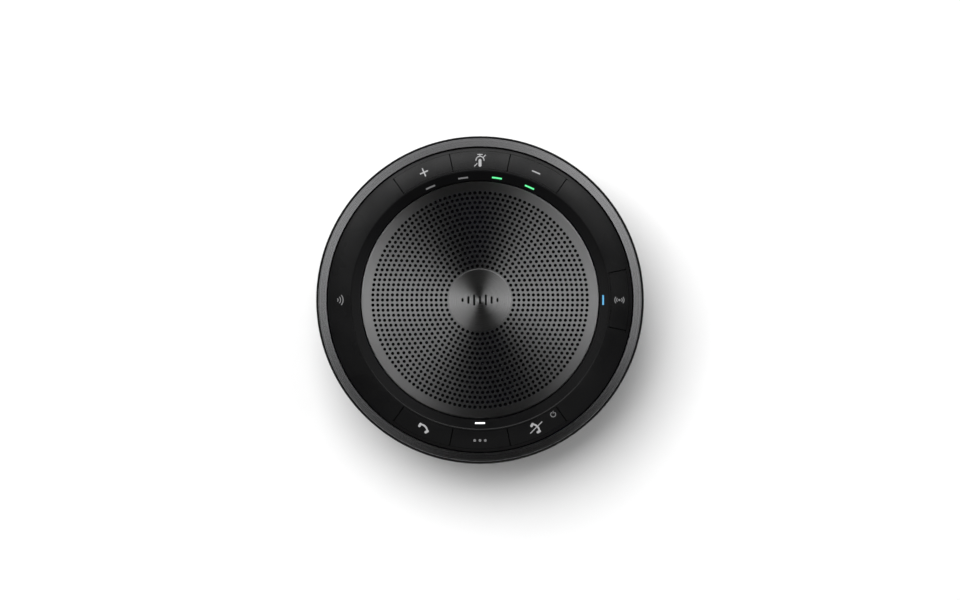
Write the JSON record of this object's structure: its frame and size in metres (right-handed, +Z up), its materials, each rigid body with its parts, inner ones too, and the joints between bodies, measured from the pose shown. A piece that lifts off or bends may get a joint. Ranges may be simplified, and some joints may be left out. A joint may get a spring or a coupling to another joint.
{
  "type": "conference speakerphone",
  "caption": "Round table-top conference speakerphone: perforated loudspeaker grille in a ring of push keys with lit bars, satin trim ring, dark bowl-shaped housing.",
  "frame": {"origin": "centre of the underside, on the surface the unit stands on", "axes": "+Z up along the round body's axis, -Y towards the person using the call keys, +Y towards the cable socket and the volume keys"},
  "size_m": [0.13, 0.13, 0.033],
  "materials": {
    "housing_plastic": "fine satin grain",
    "ring_plastic": "soft matt",
    "trim_metal": "satin, turned",
    "grille_metal": "satin, turned",
    "disc_metal": "satin, turned",
    "frame_plastic": "moulded",
    "foot_rubber": "matt",
    "soft_rubber": "matt",
    "mesh_cloth": "fine weave",
    "spider_cloth": "resin-stiffened weave",
    "cone_paper": "pressed fibre",
    "coil_copper": "enamelled wire",
    "basket_paint": "black paint",
    "ferrite": "ground",
    "plated_steel": "zinc plated",
    "board_laminate": "solder mask",
    "dark_laminate": "black solder mask",
    "chip_plastic": "moulded",
    "terminal_laminate": "phenolic",
    "connector_plastic": "moulded",
    "switch_metal": "stamped",
    "switch_button_plastic": "moulded",
    "capacitor_metal": "sleeved can",
    "microphone_metal": "gold plated",
    "led_plastic": "clear resin",
    "guide_clear": "frosted",
    "guide_green": "frosted, lit",
    "guide_white": "frosted, lit",
    "guide_blue": "frosted, lit",
    "cell_foil": "laminate foil",
    "pad_foam": "closed-cell foam",
    "lead_insulation": "flexible",
    "lead_insulation_grey": "flexible",
    "ribbon_film": "polyimide film"
  },
  "bodies": {
    "base": {"lower_housing": "housing_plastic", "key_ring": "ring_plastic", "trim_ring": "trim_metal", "grille": "grille_metal", "centre_disc": "disc_metal", "chassis": "frame_plastic", "foot_ring": "foot_rubber", "microphone_boots": "soft_rubber", "speaker_gasket": "soft_rubber", "speaker_surround": "soft_rubber", "acoustic_mesh": "mesh_cloth", "speaker_spider": "spider_cloth", "speaker_basket": "basket_paint", "magnet": "ferrite", "top_plate": "plated_steel", "back_plate": "plated_steel", "base_screws": "plated_steel", "board_screws": "plated_steel", "speaker_screws": "plated_steel", "usb_socket": "plated_steel", "shield_can": "plated_steel", "main_board": "board_laminate", "key_board": "dark_laminate", "board_chips": "chip_plastic", "usb_tongue": "chip_plastic", "speaker_terminals": "terminal_laminate", "board_connectors": "connector_plastic", "key_switches": "switch_metal", "capacitors": "capacitor_metal", "microphones": "microphone_metal", "indicator_leds": "led_plastic", "clear_light_guides": "guide_clear", "green_light_guides": "guide_green", "call_light_guide": "guide_white", "pairing_light_guide": "guide_blue", "battery_cell": "cell_foil", "battery_pad": "pad_foam", "battery_lead": "lead_insulation", "speaker_lead": "lead_insulation_grey", "ribbon_cable": "ribbon_film"},
    "volume_up_key": {"volume_up_key": "ring_plastic", "volume_up_switch_button": "switch_button_plastic"},
    "mute_key": {"mute_key": "ring_plastic", "mute_switch_button": "switch_button_plastic"},
    "volume_down_key": {"volume_down_key": "ring_plastic", "volume_down_switch_button": "switch_button_plastic"},
    "answer_key": {"answer_key": "ring_plastic", "answer_switch_button": "switch_button_plastic"},
    "menu_key": {"menu_key": "ring_plastic", "menu_switch_button": "switch_button_plastic"},
    "hangup_key": {"hangup_key": "ring_plastic", "hangup_switch_button": "switch_button_plastic"},
    "pairing_key": {"pairing_key": "ring_plastic", "pairing_switch_button": "switch_button_plastic"},
    "cone": {"speaker_cone": "cone_paper", "dust_cap": "cone_paper", "voice_coil": "coil_copper"}
  },
  "joints": [
    {"name": "volume_up_press", "type": "slide", "parent": "base", "child": "volume_up_key", "axis": [0, 0, -1], "range_m": [0, 0.0005], "stiffness_N_per_m": 1500, "springref_m": -0.0005},
    {"name": "mute_press", "type": "slide", "parent": "base", "child": "mute_key", "axis": [0, 0, -1], "range_m": [0, 0.0005], "stiffness_N_per_m": 1500, "springref_m": -0.0005},
    {"name": "volume_down_press", "type": "slide", "parent": "base", "child": "volume_down_key", "axis": [0, 0, -1], "range_m": [0, 0.0005], "stiffness_N_per_m": 1500, "springref_m": -0.0005},
    {"name": "answer_press", "type": "slide", "parent": "base", "child": "answer_key", "axis": [0, 0, -1], "range_m": [0, 0.0005], "stiffness_N_per_m": 1500, "springref_m": -0.0005},
    {"name": "menu_press", "type": "slide", "parent": "base", "child": "menu_key", "axis": [0, 0, -1], "range_m": [0, 0.0005], "stiffness_N_per_m": 1500, "springref_m": -0.0005},
    {"name": "hangup_press", "type": "slide", "parent": "base", "child": "hangup_key", "axis": [0, 0, -1], "range_m": [0, 0.0005], "stiffness_N_per_m": 1500, "springref_m": -0.0005},
    {"name": "pairing_press", "type": "slide", "parent": "base", "child": "pairing_key", "axis": [0, 0, -1], "range_m": [0, 0.0005], "stiffness_N_per_m": 1500, "springref_m": -0.0005},
    {"name": "cone_travel", "type": "slide", "parent": "base", "child": "cone", "axis": [0, 0, 1], "range_m": [-0.0015, 0.0015], "stiffness_N_per_m": 1500, "deforming": ["speaker_surround", "speaker_spider"]}
  ]
}
